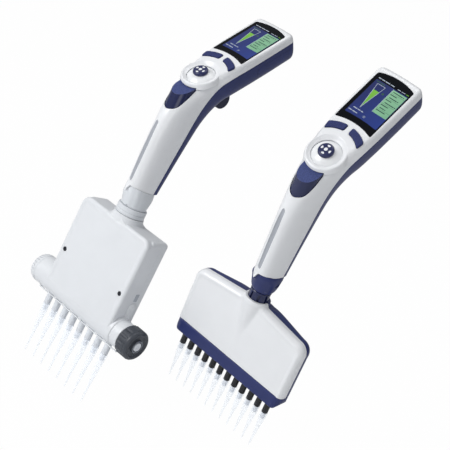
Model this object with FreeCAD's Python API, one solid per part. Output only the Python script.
import FreeCAD, Part
import math, os

# Two electronic pipettes with the same handle: a 12-channel one (files a_) and an
# 8-channel one with adjustable spacing (files b_). Units are mm.
# Each is drawn in its own frame: X across the nozzle row, -Y the front that faces
# the user, +Z up along the grip, z = 0 at the lower edge of the grip.
# Head frame, for parts on the tilted head: origin at the joystick centre, X across,
# Y up along the display plane, Z out of the display.

Vector = FreeCAD.Vector

# ---- driving dimensions -------------------------------------------------
ORIGIN = Vector(-70.760, 22.764, -193.396)   # point of the a_ frame that becomes 0,0,0
B_SHIFT = Vector(-138.7, -14.2, -4.8)        # the b_ frame in the a_ frame
B_X_AXIS = Vector(0.9938, -0.0786, 0.0781)
B_Y_AXIS = Vector(0.0945, 0.9691, -0.2280)   # made square to B_X_AXIS below

BEND = 47.6                                  # tilt of the head against the grip, degrees
JOYSTICK = Vector(0, 3.31, 112.47)           # joystick centre on the display plane
WALL = 1.8                                   # moulded handle wall
SEAM_GAP = 0.08                              # half gap between the two shells
SCREW_R = 2.5                                # drive screw
SPIGOT_R = 6.5                               # spigot that joins a lower part to the handle
SPIGOT_BOTTOM, SPIGOT_TOP = -36.0, -5.4
FRONT, BACK = 1, -1

# joystick and display, in the head frame
CAP_R = 6.6
BALL_R = 20.0                                # dome, a sphere about the gimbal point
BALL_Z = -19.2                               # gimbal point
DOME_R = 13.2
DOME_OPENING_R = 12.0
RING_R = 16.6
LENS_HALF_WIDTH = 17.8
LENS_BOTTOM, LENS_TOP, LENS_BULGE = 30.5, 83.3, 3.5
KEY_INNER_R, KEY_OUTER_R = 23.0, 29.0        # about the joystick
KEY_STEM_X, KEY_STEM_Y = 10.5, 23.6

# battery pack and trigger, in the head frame
PACK_BOTTOM, PACK_TOP_Z = 44.6, -12.0
PACK_BACK_Z = -27.7                          # flat back of the pack
PACK_GAP = 0.15
PIN_Y, PIN_Z = 22.0, -20.0                   # trigger pin

# ejector button, in the pipette frame
BUTTON_R, BUTTON_ARC_Y = 9.7, -6.6
EJECT_ROD_Y = -12.4

os.makedirs("parts", exist_ok=True)


# ---- helpers ------------------------------------------------------------
HEAD = FreeCAD.Placement(JOYSTICK, FreeCAD.Rotation(Vector(1, 0, 0), 90.0 - BEND))


def on_head(shape):
    """Move a shape from the head frame to the pipette frame."""
    moved = shape.copy()
    moved.Placement = HEAD.multiply(moved.Placement)
    return moved


def box(x0, x1, y0, y1, z0, z1):
    return Part.makeBox(x1 - x0, y1 - y0, z1 - z0, Vector(x0, y0, z0))


def mid_box(half_width, y0, y1, z0, z1):
    """Box centred on x = 0."""
    return box(-half_width, half_width, y0, y1, z0, z1)


def rod_x(radius, x0, x1, y=0.0, z=0.0):
    return Part.makeCylinder(radius, x1 - x0, Vector(x0, y, z), Vector(1, 0, 0))


def rod_y(radius, y0, y1, x=0.0, z=0.0):
    return Part.makeCylinder(radius, y1 - y0, Vector(x, y0, z), Vector(0, 1, 0))


def rod_z(radius, z0, z1, x=0.0, y=0.0):
    return Part.makeCylinder(radius, z1 - z0, Vector(x, y, z0), Vector(0, 0, 1))


def ball(radius):
    """Sphere about the gimbal point, in the head frame."""
    return Part.makeSphere(radius, Vector(0, 0, BALL_Z))


def arc(start, middle, end):
    return Part.Arc(start, middle, end).toShape()


def segments(*points):
    return [Part.makeLine(p, q) for p, q in zip(points, points[1:])]


def with_mirror(left):
    """Points of the -X half followed by their mirror images, back to the start side."""
    return left + [Vector(-p.x, p.y, p.z) for p in reversed(left)]


def both_sides(shape):
    return shape.mirror(Vector(0, 0, 0), Vector(1, 0, 0)), shape


def extrude_z(outline, z0, z1):
    return Part.Face(outline.translated(Vector(0, 0, z0))).extrude(Vector(0, 0, z1 - z0))


def mirrored_prism(left_xz, y0, y1):
    points = with_mirror([Vector(x, y0, z) for x, z in left_xz])
    face = Part.Face(Part.makePolygon(points + [points[0]]))
    return face.extrude(Vector(0, y1 - y0, 0))


def loft(wires, ruled=True):
    return Part.makeLoft(wires, True, ruled)


def fillet(shape, radius, picks):
    return shape.makeFillet(radius, [e for e in shape.Edges if picks(e.BoundBox)])


def fuse_each(shape, others):
    for other in others:
        shape = shape.fuse(other)
    return shape


def cut_each(shape, tools):
    for tool in tools:
        shape = shape.cut(tool)
    return shape


def largest(shape):
    return max(shape.Solids, key=lambda solid: solid.Volume)


def row(count, pitch):
    return [(i - (count - 1) / 2.0) * pitch for i in range(count)]


def superellipse(angle, power):
    """Unit superellipse point."""
    return [math.copysign(abs(c) ** (2.0 / power), c) for c in (math.cos(angle), math.sin(angle))]


# ---- handle sections ----------------------------------------------------
def head_yz(along, out):
    """Pipette y, z of a point on the head's middle plane."""
    bend = math.radians(BEND)
    return (JOYSTICK.y + along * math.sin(bend) - out * math.cos(bend),
            JOYSTICK.z + along * math.cos(bend) + out * math.sin(bend))


# seam y, seam z, tilt in degrees, half width,
# front depth, front exponent, back depth, back exponent
STATIONS = [
    (4.5, 0.0, 0.0, 11.3, 21.3, 2.3, 9.0, 2.6),
    (6.2, 25.0, 0.0, 11.9, 24.2, 2.3, 10.5, 2.6),
    (7.9, 50.0, 0.0, 12.6, 26.4, 2.3, 12.0, 2.7),
    (8.5, 70.0, 0.0, 13.6, 26.3, 2.4, 14.0, 2.8),
    (8.4, 84.0, 7.0, 15.2, 22.6, 2.6, 17.0, 3.0),
    (9.2, 97.0, 17.0, 17.6, 12.6, 3.0, 20.0, 3.2),
    (12.2, 108.7, 34.0, 19.6, 9.0, 3.6, 21.0, 3.6),
    head_yz(16, -7.4) + (BEND, 21.0, 7.4, 4.2, 20.8, 4.0),
    head_yz(36, -7.4) + (BEND, 21.7, 7.4, 4.6, 20.8, 4.2),
    head_yz(62, -7.5) + (BEND, 22.1, 7.5, 4.6, 20.7, 4.4),
    head_yz(87.5, -7.5) + (BEND, 22.1, 7.4, 4.6, 20.6, 4.4),
]
END_STATION = head_yz(91.4, -7.5) + (BEND, 20.4, 5.6, 4.0, 18.2, 4.0)


def half_section(station, side, inset, seam):
    """Closed half section, its flat edge a distance seam out from the seam."""
    seam_y, seam_z, tilt, half_width, front, front_power, back, back_power = station
    depth, power = (front, front_power) if side == FRONT else (back, back_power)
    half_width, depth, tilt = half_width - inset, depth - inset, math.radians(tilt)
    steps = 14
    points = []
    for i in range(steps + 1):
        across, rise = superellipse(math.pi * i / steps, power)
        if i in (0, steps):
            across, rise = math.copysign(1, across), 0.0
        out = side * (seam + (depth - seam) * rise)
        points.append(Vector(across * half_width, seam_y - out * math.cos(tilt),
                             seam_z + out * math.sin(tilt)))
    curve = Part.BSplineCurve()
    curve.interpolate(points)
    return Part.Wire([curve.toShape(), Part.makeLine(points[-1], points[0])])


def handle_skin(side, inset=0.0):
    return loft([half_section(s, side, inset, SEAM_GAP) for s in STATIONS + [END_STATION]])


def handle_cavity(side):
    """Inside of a shell, open through the seam and the lower edge."""
    below = STATIONS[0][:1] + (-2.0,) + STATIONS[0][2:]
    return loft([half_section(s, side, WALL, -1.5) for s in [below] + STATIONS[1:]])


# ---- handle outlines ----------------------------------------------------
def lens_outline(grow=0.0):
    half_width = LENS_HALF_WIDTH + grow
    bottom, top = LENS_BOTTOM - grow, LENS_TOP + grow
    low_left, low_right = Vector(-half_width, bottom, 0), Vector(half_width, bottom, 0)
    top_right, top_left = Vector(half_width, top, 0), Vector(-half_width, top, 0)
    return Part.Wire([
        arc(low_left, Vector(0, bottom + LENS_BULGE, 0), low_right),
        Part.makeLine(low_right, top_right),
        arc(top_right, Vector(0, top + LENS_BULGE, 0), top_left),
        Part.makeLine(top_left, low_left)])


def key_outline(side, grow=0.0):
    """Arc-shaped key; side is -1 for the left key and 1 for the right."""
    def polar(radius, degrees):
        angle = math.radians(degrees)
        return Vector(side * radius * math.sin(angle), radius * math.cos(angle), 0)

    inner_r, outer_r = KEY_INNER_R - grow, KEY_OUTER_R + grow
    spread = math.degrees(grow / 25.0)
    # angles from the head's Y axis
    inner = [polar(inner_r, a) for a in (6.4 - spread, 27 - spread / 2, 46.5 + spread)]
    outer = [polar(outer_r, a) for a in (37.5 + spread, 21, 5.1 - spread)]
    return Part.Wire([arc(*inner), Part.makeLine(inner[2], outer[0]),
                      arc(*outer), Part.makeLine(outer[2], inner[0])])


def button_prism(grow, z0, z1, back_y=-3.6):
    """Ejector button plan: a half round front and a flat back."""
    radius, back_y = BUTTON_R + grow, back_y + grow
    back_left, left = Vector(-radius, back_y, 0), Vector(-radius, BUTTON_ARC_Y, 0)
    right, back_right = Vector(radius, BUTTON_ARC_Y, 0), Vector(radius, back_y, 0)
    nose = Vector(0, BUTTON_ARC_Y - radius, 0)
    outline = Part.Wire(segments(back_left, left) + [arc(left, nose, right)]
                        + segments(right, back_right, back_left))
    return extrude_z(outline, z0, z1)


def pack_region(grow=0.0):
    """Head frame block that takes in the battery pack, with one rounded corner."""
    radius, half_width, top, deep = 4.0, 30.0, 110, -40
    arc_mid = 0.293 * radius             # set-in of the corner arc's middle point
    bottom, face = PACK_BOTTOM - grow, PACK_TOP_Z + grow
    points = [Vector(-half_width, y, z) for y, z in (
        (bottom, deep), (bottom, face - radius), (bottom + arc_mid, face - arc_mid),
        (bottom + radius, face), (top, face), (top, deep))]
    edges = segments(*points[:2]) + [arc(*points[1:4])] + segments(*points[3:], points[0])
    return on_head(Part.Face(Part.Wire(edges)).extrude(Vector(2 * half_width, 0, 0)))


# ---- handle pieces ------------------------------------------------------
def label_recess():
    """Long shallow recess with round ends on the front of the grip."""
    radius, x, z0, z1, depth = 2.3, -1.5, 9, 59, 0.7
    y0, y1 = -22.4, -16.4
    recess = box(x - radius, x + radius, y0, y1, z0, z1)
    recess = fuse_each(recess, [rod_y(radius, y0, y1, x, z) for z in (z0, z1)])
    return recess.cut(handle_skin(FRONT, depth))


def front_shell(skin):
    shell = skin.cut(handle_cavity(FRONT))
    shell = shell.fuse(on_head(rod_z(RING_R, -5.2, -0.6)))
    shell = shell.cut(on_head(rod_z(DOME_OPENING_R, -10, 10)))
    # clearance for the moving dome
    shell = shell.cut(on_head(ball(BALL_R + 0.3).common(rod_z(15.2, -45, 15))))
    pocket = button_prism(0.3, 51.2, 104.0).cut(on_head(rod_z(RING_R, -30, 30)))
    pocket = pocket.cut(on_head(mid_box(30, -60, 30, -4.0, 30)))
    shell = shell.cut(pocket)
    shell = shell.cut(on_head(extrude_z(lens_outline(0.1), -6, 4)))
    for side in (-1, 1):
        shell = shell.cut(on_head(extrude_z(key_outline(side, 0.15), -6, 4)))
    return largest(shell.cut(label_recess()))


def back_shell(skin):
    """Back shell with the battery bay and the trigger ears."""
    shell = skin.cut(handle_cavity(BACK))
    bay_y, bay_z = PACK_BOTTOM - PACK_GAP, PACK_TOP_Z + PACK_GAP
    floor_z = -10.7
    floor = on_head(mid_box(20.6, bay_y, 88.6, bay_z, floor_z))
    rib = on_head(mid_box(19.4, 43.0, bay_y, -26.8, floor_z))
    shell = shell.fuse(floor.common(skin)).fuse(rib.common(skin))
    shell = shell.cut(pack_region(PACK_GAP))
    for ear in both_sides(box(7.2, 9.2, 17.5, 26.5, -26.2, -16.5)):
        shell = shell.fuse(on_head(ear))
    shell = shell.cut(on_head(rod_x(1.55, -9.6, 9.6, PIN_Y, PIN_Z)))
    # opening for the trigger
    return largest(shell.cut(on_head(mid_box(6.7, 4.0, 27.6, -34, -15.2))))


def battery_pack(skin):
    case = skin.common(pack_region())
    case = case.cut(on_head(mid_box(30, 30, 100, -40, PACK_BACK_Z)))
    case = case.cut(on_head(mid_box(17.5, 48.5, 85.0, -24.0, -14.0)))
    cell = on_head(mid_box(17.0, 49.0, 84.5, -23.6, -14.4))
    return Part.makeCompound([case.Solids[0], cell])


def display():
    thickness = 2.0
    window = extrude_z(lens_outline(), -thickness, 0.0)
    return on_head(window.fuse(mid_box(15.6, 37.0, 81.0, -5.4, -thickness)))


def key(side):
    stem = rod_z(1.4, -5.2, -2.0, side * KEY_STEM_X, KEY_STEM_Y)
    return on_head(extrude_z(key_outline(side), -2.6, 0.9).fuse(stem))


def joystick_dome():
    """Slotted dome with an arm and a pivot pin on each side."""
    dome = ball(BALL_R).cut(ball(BALL_R - 1.4)).common(rod_z(DOME_R, -12, 8))
    slot_r, slot_travel = 2.2, 1.7
    slot = mid_box(slot_r + slot_travel, -slot_r, slot_r, -12, 6)
    slot = slot.fuse(rod_z(slot_r, -12, 6, -slot_travel)).removeSplitter()
    dome = dome.cut(slot)
    arm_x, arm_half = 10.4, 2.4
    arm = box(arm_x, 12.0, -arm_half, arm_half, BALL_Z - arm_half, -5.0)
    dome = fuse_each(dome, both_sides(arm.fuse(rod_x(1.3, arm_x, 14.6, 0, BALL_Z))))
    # trim the arms to the dome's outer sphere
    return on_head(dome.cut(ball(60).cut(ball(BALL_R))))


def joystick_cap():
    """Cap on its stem, with a ball at the gimbal point and four dimples."""
    top, dimple_at, dimple_r = 2.8, 3.7, 1.05
    cap = fillet(rod_z(CAP_R, -3.4, top), 1.1, lambda b: b.ZMin > 2.7)
    cap = cap.cut(ball(BALL_R + 0.25))
    cap = cap.fuse(rod_z(2.0, BALL_Z, 1.6)).fuse(ball(2.6))
    for k in range(4):
        angle = math.radians(45 + 90 * k)
        x, y = dimple_at * math.cos(angle), dimple_at * math.sin(angle)
        cap = cap.cut(rod_z(dimple_r, 2.5, 3.5, x, y))
    return on_head(cap)


def ejector_button():
    button = button_prism(0.0, 60.0, 104.0)
    button = button.cut(on_head(rod_z(RING_R + 0.6, -30, 30)))
    button = button.cut(on_head(mid_box(30, -60, 30, -4.5, 30)))
    hollow = button_prism(-2.0, 59.0, 72.0, -1.0).common(mid_box(20, -20, -5.6, 50, 80))
    button = button.cut(hollow)
    button = button.fuse(rod_z(1.4, 10.0, 74.0, 0, EJECT_ROD_Y))
    flange = rod_z(3.0, 20, 21.6, 0, EJECT_ROD_Y)
    return largest(button.fuse(flange.common(mid_box(9, -15.4, -9.6, 0, 40))))


def trigger():
    """Paddle with a rounded outer end, on its pin."""
    half_width, round_r, round_y, round_z = 6.0, 8.2, 17.0, -37.6
    paddle = mid_box(half_width, round_y - round_r, round_y + round_r, round_z, -18.0)
    end = rod_x(round_r, -half_width, half_width, round_y, round_z)
    paddle = paddle.fuse(end).removeSplitter()
    paddle = paddle.cut(mid_box(4.5, 10.5, 19.0, -30, -17.0))
    return on_head(paddle.fuse(rod_x(1.5, -9.3, 9.3, PIN_Y, PIN_Z)))


def circuit_board():
    """Board with two chips and a round contact behind each key stem."""
    face = -9.1
    board = mid_box(16.0, 15.8, 84.0, -10.3, face)
    board = board.fuse(mid_box(8, 52, 64, face, -7.4)).fuse(box(-13, -3, 34, 42, face, -7.9))
    for x in (KEY_STEM_X, -KEY_STEM_X):
        board = board.fuse(rod_z(2.4, face, -7.7, x, KEY_STEM_Y))
    return on_head(board)


def motor():
    bottom, top = 16.0, 44.0
    body = rod_z(8.0, bottom, top).fuse(rod_z(5.0, top, 47.0))
    body = body.fuse(mid_box(8.6, -5.5, 5.5, 12.4, bottom))
    return body.cut(rod_z(SCREW_R + 0.2, 10, 50))


def handle_parts():
    front_skin, back_skin = handle_skin(FRONT), handle_skin(BACK)
    return {
        "front_shell": front_shell(front_skin),
        "back_shell": back_shell(back_skin),
        "battery_pack": battery_pack(back_skin),
        "display": display(),
        "key_left": key(-1),
        "key_right": key(1),
        "joystick_dome": joystick_dome(),
        "joystick_cap": joystick_cap(),
        "ejector_button": ejector_button(),
        "trigger": trigger(),
        "circuit_board": circuit_board(),
        "motor": motor(),
    }


# ---- pieces common to both lower parts ----------------------------------
def drive_screw(plate_top):
    """Screw that ends just above the piston plate, ringed by shallow grooves."""
    screw = rod_z(SCREW_R, plate_top + 0.6, 49.0)
    groove_width, groove_depth = 0.5, 0.25
    for i in range(9):
        z0 = 12 + i * 4.0
        z1 = z0 + groove_width
        screw = screw.cut(rod_z(6, z0, z1).cut(rod_z(SCREW_R - groove_depth, z0, z1)))
    return screw


def spline_ring(z, centre_y, radius_x, radius_y, power):
    steps = 24
    points = []
    for i in range(steps):
        x, y = superellipse(2 * math.pi * i / steps, power)
        points.append(Vector(radius_x * x, centre_y + radius_y * y, z))
    curve = Part.BSplineCurve()
    curve.interpolate(points, PeriodicFlag=True)
    return Part.Wire([curve.toShape()])


def collar(rings):
    body = loft([spline_ring(*ring) for ring in rings], ruled=False)
    body = body.fuse(rod_z(8.4, -1.0, 6.0))
    return body.cut(rod_z(SPIGOT_R + 0.05, -20, -5.0)).cut(rod_z(SCREW_R + 0.4, -6, 8))


def tip(x, top, bottom, top_r, bore, depth):
    """Hollow tip; bore and depth are those of the socket in its upper end."""
    waist = bottom + 0.36 * (top - bottom)
    socket = top - depth
    # r, z: down the outside, then up the inside
    profile = [
        (bore, top), (top_r, top), (top_r, top - 0.9), (top_r - 0.35, top - 1.4),
        (top_r - 0.45, socket - 1), (1.35, waist), (0.5, bottom),
        (0.24, bottom), (0.85, waist), (bore - 0.12, socket - 1), (bore, socket)]
    points = [Vector(radius, 0, z) for radius, z in profile]
    face = Part.Face(Part.makePolygon(points + [points[0]]))
    solid = face.revolve(Vector(0, 0, 0), Vector(0, 0, 1), 360)
    solid.translate(Vector(x, 0, 0))
    return solid


# ---- 12-channel lower part ----------------------------------------------
A_PITCH = 9.0                                # microplate pitch
A_ROW = row(12, A_PITCH)
A_ROD_XS = (-18.0, 18.0)                     # rods that carry the ejector bar
A_PLATE_TOP = -49.0                          # piston plate
SLEEVE_R = 2.75
SLEEVE_END = -111.3
A_TIP_END = -148.1
MANIFOLD_HALF_WIDTH = 60.8
MANIFOLD_FRONT, MANIFOLD_BACK = -7.5, 11.2
MANIFOLD_WALL = 1.8
NECK_R, NECK_TOP = 11.2, -25.0
BASE_BOTTOM = -97.0

# z, centre y, radius x, radius y, exponent
A_COLLAR_RINGS = [
    (-0.1, -1.3, 11.3, 14.3, 2.2), (-5.0, -0.6, 12.2, 13.4, 2.0),
    (-11.0, 0, 11.4, 11.5, 2.0), (-18.0, 0, 10.4, 10.4, 2.0)]


def a_collar():
    # pocket in the +X side
    return collar(A_COLLAR_RINGS).cut(box(9.6, 14.0, -2.2, 2.6, -12.0, -7.0))


def a_coupling_nut():
    nut = rod_z(8.9, -33.4, -18.2).cut(rod_z(SPIGOT_R + 0.05, -34, -18))
    slots = 8
    for i in range(slots):
        slot = box(7.9, 9.8, -0.8, 0.8, -33.5, -20.2)
        slot.rotate(Vector(0, 0, 0), Vector(0, 0, 1), 360.0 / slots * i + 22.5)
        nut = nut.cut(slot)
    return nut


def manifold_wire(y, inset):
    half_width = MANIFOLD_HALF_WIDTH - inset
    points = with_mirror([Vector(x, y, z) for x, z in (
        (-half_width, -86.5), (-half_width, -46.5 - 0.4 * inset),
        (-51.0 + 0.5 * inset, -34.6 - inset), (-12.5 + 0.3 * inset, -29.4 - inset),
        (-11.0 + 0.35 * inset, NECK_TOP))])
    shoulder_x = half_width - 0.24 * (half_width - 51)
    shoulder_z = -38.0 - 0.85 * inset
    return Part.Wire(
        segments(*points[:2])
        + [arc(points[1], Vector(-shoulder_x, y, shoulder_z), points[2])]
        + segments(*points[2:8])
        + [arc(points[7], Vector(shoulder_x, y, shoulder_z), points[8])]
        + segments(*points[8:], points[0]))


def manifold_cavity_wire(y, inset):
    half_width = MANIFOLD_HALF_WIDTH - inset
    points = with_mirror([Vector(x, y, z) for x, z in (
        (-half_width, -88.0), (-half_width, -48.5 - 0.4 * inset),
        (-50.0 + 0.5 * inset, -35.6 - inset), (-9.0, -31.0 - inset))])
    return Part.makePolygon(points + [points[0]])


# y, inset of each section, from the seam outward
FRONT_OUTSIDE = [(0.9, 0.0), (-4.0, 0.7), (MANIFOLD_FRONT, 4.2)]
FRONT_INSIDE = [(1.4, 2.0), (-3.4, 2.6), (-5.8, 5.4)]
BACK_OUTSIDE = [(1.0, 0.0), (6.5, 0.9), (MANIFOLD_BACK, 5.6)]
BACK_INSIDE = [(0.5, 2.0), (5.6, 2.9), (9.4, 6.6)]


def nut_recess():
    return rod_z(9.2, -34.2, -24)


def manifold_front():
    half = loft([manifold_wire(*section) for section in FRONT_OUTSIDE])
    # rib that runs down from the neck and fades into the front
    rib = Part.makeCone(6.2, NECK_R, 32.0, Vector(0, 0, -62.0), Vector(0, 0, 1))
    rib = rib.fuse(rod_z(NECK_R, -30.0, NECK_TOP))
    half = half.fuse(rib.common(mid_box(20, -20, 0.9, -70, -20)))
    half = half.cut(loft([manifold_cavity_wire(*section) for section in FRONT_INSIDE]))
    half = half.cut(nut_recess()).cut(rod_z(SPIGOT_R + 0.2, -37.0, -24))
    return half.cut(mid_box(8.7, -5.4, 2.0, -40.3, -35.7))


def manifold_back():
    """Back half with the spigot and its foot block."""
    half = loft([manifold_wire(*section) for section in BACK_OUTSIDE])
    half = half.fuse(rod_z(NECK_R, -42.0, NECK_TOP).common(mid_box(20, 1.0, 20, -50, -20)))
    half = half.cut(loft([manifold_cavity_wire(*section) for section in BACK_INSIDE]))
    half = half.cut(nut_recess())
    half = half.fuse(mid_box(8.5, -5.2, 10.2, -40.0, SPIGOT_BOTTOM))
    half = half.fuse(rod_z(SPIGOT_R, SPIGOT_BOTTOM, SPIGOT_TOP))
    half = half.cut(rod_z(3.4, -41, 0)).cut(mid_box(8.4, 5.2, 9.2, SPIGOT_BOTTOM, -34.1))
    return largest(half)


def nozzle_base():
    """Tray with bevelled ends and a hole for each sleeve."""
    base = mid_box(MANIFOLD_HALF_WIDTH, MANIFOLD_FRONT, MANIFOLD_BACK, BASE_BOTTOM, -86.6)
    base = fillet(base, 5.5, lambda b: b.ZLength > 9)
    base = base.common(mirrored_prism(
        [(-62.0, -86.0), (-62.0, -91.6), (-56.6, BASE_BOTTOM)], -20.0, 20.0))
    base = base.cut(mirrored_prism(
        [(-57.4, -86.5), (-57.4, -92.4), (-54.4, -95.4)],
        MANIFOLD_FRONT + MANIFOLD_WALL, MANIFOLD_BACK - MANIFOLD_WALL))
    return cut_each(base, [rod_z(SLEEVE_R + 0.3, -98, -94, x) for x in A_ROW])


def ejector_sleeves():
    bottom, top = -86.2, -83.8
    bar = mid_box(53.5, -4.4, 4.4, bottom, top)
    bar = fuse_each(bar, [rod_z(SLEEVE_R, SLEEVE_END, bottom, x) for x in A_ROW])
    bar = fuse_each(bar, [rod_z(1.2, top, -38.0, x) for x in A_ROD_XS])
    return cut_each(bar, [rod_z(2.15, -113, -83, x) for x in A_ROW])


def nozzle_shafts():
    bottom = -77.0
    plate = mid_box(54.0, -5.2, 6.0, bottom, -73.0)
    plate = fuse_each(plate, [rod_z(2.0, -117.3, bottom, x) for x in A_ROW])
    plate = cut_each(plate, [rod_z(1.2, -118, -72, x) for x in A_ROW])
    return cut_each(plate, [rod_z(1.5, -78, -72, x) for x in A_ROD_XS])


def a_piston_plate():
    bottom = A_PLATE_TOP - 3.0
    plate = mid_box(53, -5, 5, bottom, A_PLATE_TOP)
    plate = fuse_each(plate, [rod_z(1.0, -84.0, bottom, x) for x in A_ROW])
    return cut_each(plate, [rod_z(1.6, -53, -48, x) for x in A_ROD_XS])


def a_tips():
    return Part.makeCompound([
        tip(x, SLEEVE_END - 0.06, A_TIP_END, top_r=3.25, bore=2.15, depth=7.0)
        for x in A_ROW])


def a_lower_parts():
    return {
        "drive_screw": drive_screw(A_PLATE_TOP),
        "collar": a_collar(),
        "coupling_nut": a_coupling_nut(),
        "manifold_front": manifold_front(),
        "manifold_back": manifold_back(),
        "nozzle_base": nozzle_base(),
        "ejector_sleeves": ejector_sleeves(),
        "nozzle_shafts": nozzle_shafts(),
        "piston_plate": a_piston_plate(),
        "tips": a_tips(),
    }


# ---- 8-channel lower part -----------------------------------------------
B_ROW = row(8, 12.07)                        # spacing as set; it runs from 9 to 14
BANK_ROW = row(8, A_PITCH)                   # fixed cylinder bank
B_PLATE_TOP = -45.0                          # piston plate
B_NOZZLE_END = -141.4
B_TIP_END = -190.8
BARREL_R, BARREL_Z = 13.5, -116.0            # barrel housing along X
DRUM_PIN_R, DRUM_SHAFT_R = 3.0, 4.0
SPLIT_Y = 6.0                                # between front and back housing
B_ROD_XS, B_ROD_Y = (-40.0, 40.0), 10.0      # ejector rods
BODY_SCREW_XS, BODY_SCREW_Z = (-38.6, 38.6), -83.0

# z, centre y, radius x, radius y, exponent
B_COLLAR_RINGS = [
    (-0.1, -1.2, 11.3, 14.2, 2.3), (-6.0, -0.8, 12.4, 13.9, 2.3),
    (-12.0, -0.2, 12.2, 12.8, 2.1), (-17.0, 0, 11.8, 11.8, 2.0)]


def barrel_rod(radius, x0, x1):
    return rod_x(radius, x0, x1, 0, BARREL_Z)


def b_coupling_nut():
    nut = rod_z(13.4, -24.8, -17.2).cut(rod_z(SPIGOT_R + 0.05, -26, -17))
    return fillet(nut, 0.8, lambda b: b.XLength > 25)


def spacer_body():
    """Whole housing, before it is split into front and back."""
    outer = mid_box(44.5, -13.5, 15.0, BARREL_Z, -30.0)
    outer = fillet(outer, 5.0, lambda b: b.ZLength > 80)
    outer = fillet(outer, 3.0, lambda b: b.ZMin > -30.5)
    barrel = fillet(barrel_rod(BARREL_R, -70.0, 56.8), 5.5, lambda b: b.XMax < -69)
    outer = outer.fuse(barrel).fuse(rod_z(14.0, -34.0, -25.0))
    inner = mid_box(42.5, -11.7, 13.2, BARREL_Z, -32.0).fuse(barrel_rod(12.0, -66.0, 54.6))
    body = outer.cut(inner)
    # slot along the underside of the barrel
    body = body.cut(mid_box(53.9, -3.3, 3.3, -131, -120))
    # drum bearings
    body = body.fuse(barrel_rod(5.6, -66.2, -62.4))
    body = body.cut(barrel_rod(DRUM_PIN_R + 0.05, -66.6, -60))
    body = body.cut(barrel_rod(DRUM_SHAFT_R + 0.05, 54, 58))
    body = body.cut(rod_z(3.4, -36, -24))
    body = cut_each(body, [rod_z(1.7, -132, -117, x, B_ROD_Y) for x in B_ROD_XS])
    # detent slot in the +X side
    return body.cut(box(43.5, 45.5, 2.2, 7.2, -87.5, -79.5))


def screw_rod(radius, y0, y1, x):
    return rod_y(radius, y0, y1, x, BODY_SCREW_Z)


def screw_boss(y0, y1, x):
    return screw_rod(3.2, y0, y1, x).common(mid_box(42.6, -20, 20, -100, -60))


def spacer_front(body):
    front = body.common(mid_box(90, -60, SPLIT_Y - 0.05, -160, 0))
    for x in BODY_SCREW_XS:
        front = front.fuse(screw_boss(-12.0, SPLIT_Y - 0.2, x))
        front = front.cut(screw_rod(1.4, -14, SPLIT_Y + 1, x))
        front = front.cut(screw_rod(2.3, -14, -12.4, x))
    # clearance for the spigot and its foot block
    front = front.cut(rod_z(SPIGOT_R + 0.15, -36, -20))
    return largest(front.cut(mid_box(9.2, -6.2, 15, -41, -33.4)))


def spacer_back(body):
    """Back housing with the cylinder bank and the spigot."""
    back = body.common(mid_box(90, SPLIT_Y + 0.05, 60, -160, 0))
    for x in BODY_SCREW_XS:
        back = back.fuse(screw_boss(SPLIT_Y + 0.2, 13.4, x))
        back = back.cut(screw_rod(1.25, SPLIT_Y - 1, 12.0, x))
    back = back.fuse(mid_box(35.0, -5.5, 14.0, -95.0, -70.0))
    back = back.fuse(mid_box(9, -6, 14.0, -40.0, -34.2))
    back = back.fuse(rod_z(SPIGOT_R, SPIGOT_BOTTOM, SPIGOT_TOP))
    back = cut_each(back, [rod_z(1.75, -96, -69, x) for x in BANK_ROW])
    return largest(back.cut(rod_z(3.4, -41, 0)))


def body_screw(x):
    """Slotted screw, its head to the front."""
    screw = screw_rod(2.1, -13.7, -12.45, x).fuse(screw_rod(1.2, -12.5, 11.4, x))
    return screw.cut(box(x - 1.6, x + 1.6, -13.8, -13.2,
                         BODY_SCREW_Z - 0.3, BODY_SCREW_Z + 0.3))


def cam_barrel():
    """Drum with a ring groove at each channel."""
    left, right = -62.0, 54.2
    drum = barrel_rod(7.5, left, right).fuse(barrel_rod(DRUM_PIN_R, -65.8, left))
    drum = drum.fuse(barrel_rod(DRUM_SHAFT_R, right, 71.6))
    for x in B_ROW:
        x0, x1 = x - 0.9, x + 0.9
        drum = drum.cut(barrel_rod(8.5, x0, x1).cut(barrel_rod(6.7, x0, x1)))
    return drum


def spacing_knob():
    flutes, flute_at = 18, 14.7
    knob = fillet(barrel_rod(14.0, 57.4, 71.0), 2.4, lambda b: b.XMin > 70.5)
    for i in range(flutes):
        angle = 2 * math.pi * i / flutes
        y, z = flute_at * math.cos(angle), BARREL_Z + flute_at * math.sin(angle)
        knob = knob.cut(rod_x(1.2, 57.0, 67.0, y, z))
    return knob.cut(barrel_rod(DRUM_SHAFT_R + 0.04, 57, 72))


def carrier(x):
    """Square block with a stepped, bored nozzle."""
    half, bottom = 4.2, -126.6
    block = box(x - half, x + half, -half, half, bottom, -124.2)
    block = block.fuse(rod_z(3.0, B_NOZZLE_END, bottom, x))
    block = block.fuse(rod_z(2.2, B_NOZZLE_END - 6.0, B_NOZZLE_END, x))
    return block.cut(rod_z(1.0, -150, -124, x))


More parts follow.
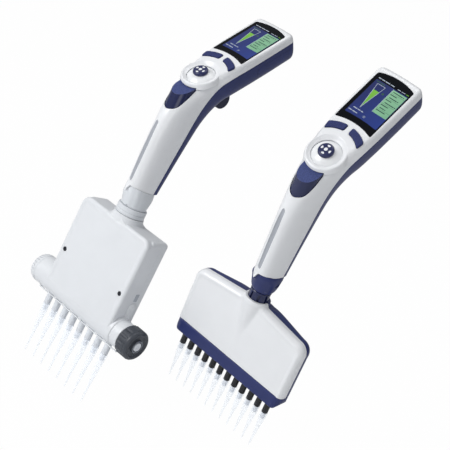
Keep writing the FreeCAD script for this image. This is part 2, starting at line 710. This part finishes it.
def ejector_plate():
    top = -130.1
    plate = mid_box(56.0, -7.4, 11.8, -131.6, top).cut(mid_box(54.4, -3.5, 3.5, -132, -130))
    return fuse_each(plate, [rod_z(1.4, top, -90.0, x, B_ROD_Y) for x in B_ROD_XS])


def b_piston_plate():
    bottom = B_PLATE_TOP - 3.0
    plate = mid_box(36, -5, 5, bottom, B_PLATE_TOP)
    return fuse_each(plate, [rod_z(1.5, -76.0, bottom, x) for x in BANK_ROW])


def b_lower_parts():
    body = spacer_body()
    parts = {
        "drive_screw": drive_screw(B_PLATE_TOP),
        "collar": collar(B_COLLAR_RINGS),
        "coupling_nut": b_coupling_nut(),
        "spacer_front": spacer_front(body),
        "spacer_back": spacer_back(body),
        "body_screws": Part.makeCompound([body_screw(x) for x in BODY_SCREW_XS]),
        "cam_barrel": cam_barrel(),
        "spacing_knob": spacing_knob(),
        "ejector_plate": ejector_plate(),
        "piston_plate": b_piston_plate(),
    }
    for i, x in enumerate(B_ROW, 1):
        parts["carrier_%d" % i] = carrier(x)
        parts["tip_%d" % i] = tip(x, B_NOZZLE_END - 0.06, B_TIP_END,
                                  top_r=3.5, bore=2.35, depth=7.2)
    return parts


# ---- placing and writing ------------------------------------------------
def square_rotation(x_axis, y_axis):
    """Rotation with the given X axis and the nearest square Y axis."""
    i = Vector(x_axis).normalize()
    j = (y_axis - i * y_axis.dot(i)).normalize()
    k = i.cross(j)
    matrix = FreeCAD.Matrix(i.x, j.x, k.x, 0, i.y, j.y, k.y, 0, i.z, j.z, k.z, 0, 0, 0, 0, 1)
    return FreeCAD.Placement(matrix).Rotation


def write(prefix, parts, place):
    for name, shape in parts.items():
        placed = shape.copy()
        placed.Placement = place.multiply(placed.Placement)
        placed.exportStep("parts/%s%s.step" % (prefix, name))


A_PLACE = FreeCAD.Placement(Vector() - ORIGIN, FreeCAD.Rotation())
B_PLACE = FreeCAD.Placement(B_SHIFT - ORIGIN, square_rotation(B_X_AXIS, B_Y_AXIS))

handle = handle_parts()
write("a_", handle, A_PLACE)
write("b_", handle, B_PLACE)
write("a_", a_lower_parts(), A_PLACE)
write("b_", b_lower_parts(), B_PLACE)
